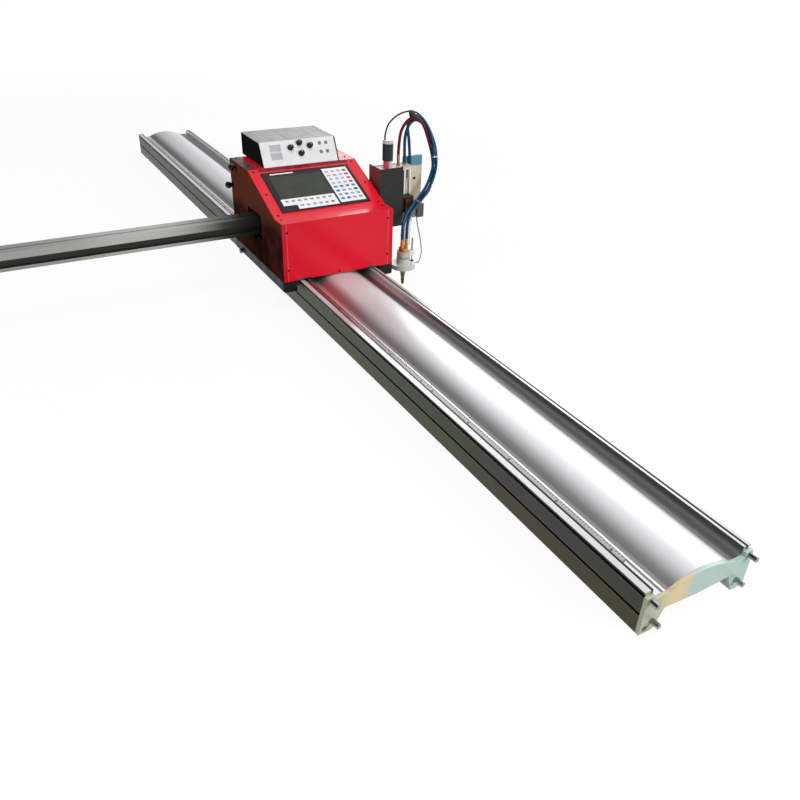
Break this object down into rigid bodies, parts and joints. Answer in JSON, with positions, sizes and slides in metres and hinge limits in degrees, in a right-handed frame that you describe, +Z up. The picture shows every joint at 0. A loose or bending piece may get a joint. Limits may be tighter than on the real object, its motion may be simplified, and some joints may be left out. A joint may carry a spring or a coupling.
{
  "type": "portable cnc cutting machine",
  "caption": "Rail-mounted CNC cutting machine: motor carriage on an aluminium rail, cross beam through the carriage, torch lifter with gas hoses.",
  "frame": {"origin": "on the ground under the middle of the machine's outline, hoses left out", "axes": "+Y along the rail to its far end, +X along the beam to the torch, +Z up"},
  "size_m": [2.1435, 3.517, 0.5165],
  "materials": {
    "rail_aluminium": "mill finish, bright on the arch",
    "plate_aluminium": "satin",
    "guide_steel": "ground",
    "rack_steel": "machined",
    "pin_steel": "turned",
    "inner_steel": "machined",
    "red_paint": "semi-gloss powder coat",
    "dark_red_paint": "semi-gloss powder coat",
    "black_paint": "matt powder coat",
    "screw_black": "black oxide",
    "panel_black": "semi-gloss",
    "screen_dark": "gloss, switched off",
    "keypad_white": "satin membrane",
    "key_blue_grey": "satin membrane",
    "case_black": "fine texture",
    "lid_grey": "satin",
    "panel_white": "satin",
    "window_grey": "clear over grey",
    "knob_black": "satin",
    "ball_black": "gloss",
    "motor_black": "satin",
    "wheel_steel": "turned",
    "beam_aluminium": "anodised, satin",
    "base_aluminium": "satin",
    "block_aluminium": "dark anodised",
    "rod_steel": "polished",
    "arm_paint": "satin",
    "torch_brass": "worn",
    "ring_white": "satin",
    "fitting_brass": "machined",
    "hose_red": "satin",
    "hose_blue": "satin",
    "cable_black": "satin",
    "wire_grey": "satin",
    "cap_black": "satin"
  },
  "bodies": {
    "rail": {"rail": "rail_aluminium", "guide_bars": "guide_steel", "rail_rack": "rack_steel", "near_end_plate": "plate_aluminium", "far_end_plate": "plate_aluminium", "joining_pins": "pin_steel"},
    "carriage": {"chassis": "inner_steel", "guide_brackets": "black_paint", "axles": "inner_steel", "front_cover": "red_paint", "left_side_plate": "dark_red_paint", "right_side_plate": "red_paint", "top_cover": "red_paint", "rear_cover": "red_paint", "cover_screws": "screw_black", "control_unit": "panel_black", "screen": "screen_dark", "keypad": "keypad_white", "panel_keys": "key_blue_grey", "thc_case": "case_black", "thc_lid": "lid_grey", "thc_front_panel": "panel_white", "thc_windows": "window_grey", "drive_motor": "motor_black", "beam_motor": "motor_black", "beam_guides": "inner_steel"},
    "beam": {"beam": "beam_aluminium", "beam_rack": "rack_steel", "beam_end_caps": "cap_black", "lifter_base": "base_aluminium", "lifter_cover": "black_paint", "lift_motor": "motor_black", "guide_rods": "rod_steel", "gas_fittings": "fitting_brass", "red_hose": "hose_red", "blue_hose_left": "hose_blue", "blue_hose_right": "hose_blue", "motor_cable": "cable_black"},
    "torch_slide": {"slide_block": "block_aluminium", "torch_arm": "arm_paint", "torch": "torch_brass", "sensor_ring": "ring_white", "sensor_wire": "wire_grey"},
    "lift_screw": {"lift_screw": "inner_steel"},
    "load_wheel_front_left": {"load_wheel_front_left": "wheel_steel"},
    "load_wheel_front_right": {"load_wheel_front_right": "wheel_steel"},
    "load_wheel_rear_left": {"load_wheel_rear_left": "wheel_steel"},
    "load_wheel_rear_right": {"load_wheel_rear_right": "wheel_steel"},
    "guide_roller_front_left": {"guide_roller_front_left": "wheel_steel"},
    "guide_roller_front_right": {"guide_roller_front_right": "wheel_steel"},
    "guide_roller_rear_left": {"guide_roller_rear_left": "wheel_steel"},
    "guide_roller_rear_right": {"guide_roller_rear_right": "wheel_steel"},
    "drive_pinion": {"drive_pinion": "rack_steel"},
    "beam_pinion": {"beam_pinion": "rack_steel"},
    "thc_knob_1": {"thc_knob_1": "knob_black"},
    "thc_knob_2": {"thc_knob_2": "knob_black"},
    "thc_knob_3": {"thc_knob_3": "knob_black"},
    "thc_knob_4": {"thc_knob_4": "knob_black"},
    "clutch_knob_upper": {"clutch_knob_upper": "ball_black"},
    "clutch_knob_lower": {"clutch_knob_lower": "ball_black"}
  },
  "joints": [
    {"name": "carriage_travel", "type": "slide", "parent": "rail", "child": "carriage", "axis": [0, 1, 0], "range_m": [-1.33, 1.55]},
    {"name": "beam_travel", "type": "slide", "parent": "carriage", "child": "beam", "axis": [1, 0, 0], "range_m": [0, 1.5]},
    {"name": "torch_lift", "type": "slide", "parent": "beam", "child": "torch_slide", "axis": [0, 0, 1], "range_m": [0, 0.08], "deforming": ["red_hose", "blue_hose_left", "blue_hose_right", "motor_cable"]},
    {"name": "lift_screw_spin", "type": "hinge", "parent": "beam", "child": "lift_screw", "pos_m": [0.8955, -0.1555, 0.26], "axis": [0, 0, 1], "continuous": true},
    {"name": "load_wheel_front_left_spin", "type": "hinge", "parent": "carriage", "child": "load_wheel_front_left", "pos_m": [0.5345, -0.2665, 0.11605], "axis": [1, 0, 0], "continuous": true},
    {"name": "load_wheel_front_right_spin", "type": "hinge", "parent": "carriage", "child": "load_wheel_front_right", "pos_m": [0.7715, -0.2665, 0.11605], "axis": [1, 0, 0], "continuous": true},
    {"name": "load_wheel_rear_left_spin", "type": "hinge", "parent": "carriage", "child": "load_wheel_rear_left", "pos_m": [0.5345, 0.0805, 0.11605], "axis": [1, 0, 0], "continuous": true},
    {"name": "load_wheel_rear_right_spin", "type": "hinge", "parent": "carriage", "child": "load_wheel_rear_right", "pos_m": [0.7715, 0.0805, 0.11605], "axis": [1, 0, 0], "continuous": true},
    {"name": "guide_roller_front_left_spin", "type": "hinge", "parent": "carriage", "child": "guide_roller_front_left", "pos_m": [0.50895, -0.2465, 0.084], "axis": [0, 0, 1], "continuous": true},
    {"name": "guide_roller_front_right_spin", "type": "hinge", "parent": "carriage", "child": "guide_roller_front_right", "pos_m": [0.79705, -0.2465, 0.084], "axis": [0, 0, 1], "continuous": true},
    {"name": "guide_roller_rear_left_spin", "type": "hinge", "parent": "carriage", "child": "guide_roller_rear_left", "pos_m": [0.50895, 0.0705, 0.084], "axis": [0, 0, 1], "continuous": true},
    {"name": "guide_roller_rear_right_spin", "type": "hinge", "parent": "carriage", "child": "guide_roller_rear_right", "pos_m": [0.79705, 0.0705, 0.084], "axis": [0, 0, 1], "continuous": true},
    {"name": "drive_pinion_spin", "type": "hinge", "parent": "carriage", "child": "drive_pinion", "pos_m": [0.5695, -0.2015, 0.086], "axis": [0, 0, 1], "continuous": true},
    {"name": "beam_pinion_spin", "type": "hinge", "parent": "carriage", "child": "beam_pinion", "pos_m": [0.633, -0.0395, 0.203], "axis": [0, 0, 1], "continuous": true},
    {"name": "thc_knob_1_turn", "type": "hinge", "parent": "carriage", "child": "thc_knob_1", "pos_m": [0.625, -0.0147, 0.40884], "axis": [0, -0.8838, 0.4679], "range_deg": [-135, 135]},
    {"name": "thc_knob_2_turn", "type": "hinge", "parent": "carriage", "child": "thc_knob_2", "pos_m": [0.656, -0.00909, 0.41945], "axis": [0, -0.8838, 0.4679], "range_deg": [-135, 135]},
    {"name": "thc_knob_3_turn", "type": "hinge", "parent": "carriage", "child": "thc_knob_3", "pos_m": [0.69, -0.01423, 0.40972], "axis": [0, -0.8838, 0.4679], "range_deg": [-135, 135]},
    {"name": "thc_knob_4_turn", "type": "hinge", "parent": "carriage", "child": "thc_knob_4", "pos_m": [0.657, -0.02406, 0.39117], "axis": [0, -0.8838, 0.4679], "range_deg": [-135, 135]},
    {"name": "clutch_knob_upper_pull", "type": "slide", "parent": "carriage", "child": "clutch_knob_upper", "axis": [-1, 0, 0], "range_m": [0, 0.01]},
    {"name": "clutch_knob_lower_pull", "type": "slide", "parent": "carriage", "child": "clutch_knob_lower", "axis": [-1, 0, 0], "range_m": [0, 0.01]}
  ],
  "couplings": [
    {"joint": "lift_screw_spin", "follows": "torch_lift", "rad_per_m": -628.32},
    {"joint": "load_wheel_front_left_spin", "follows": "carriage_travel", "rad_per_m": -41.667},
    {"joint": "load_wheel_front_right_spin", "follows": "carriage_travel", "rad_per_m": -41.667},
    {"joint": "load_wheel_rear_left_spin", "follows": "carriage_travel", "rad_per_m": -41.667},
    {"joint": "load_wheel_rear_right_spin", "follows": "carriage_travel", "rad_per_m": -41.667},
    {"joint": "guide_roller_front_left_spin", "follows": "carriage_travel", "rad_per_m": -50},
    {"joint": "guide_roller_front_right_spin", "follows": "carriage_travel", "rad_per_m": 50},
    {"joint": "guide_roller_rear_left_spin", "follows": "carriage_travel", "rad_per_m": -50},
    {"joint": "guide_roller_rear_right_spin", "follows": "carriage_travel", "rad_per_m": 50},
    {"joint": "drive_pinion_spin", "follows": "carriage_travel", "rad_per_m": 66.667},
    {"joint": "beam_pinion_spin", "follows": "beam_travel", "rad_per_m": 66.667}
  ]
}
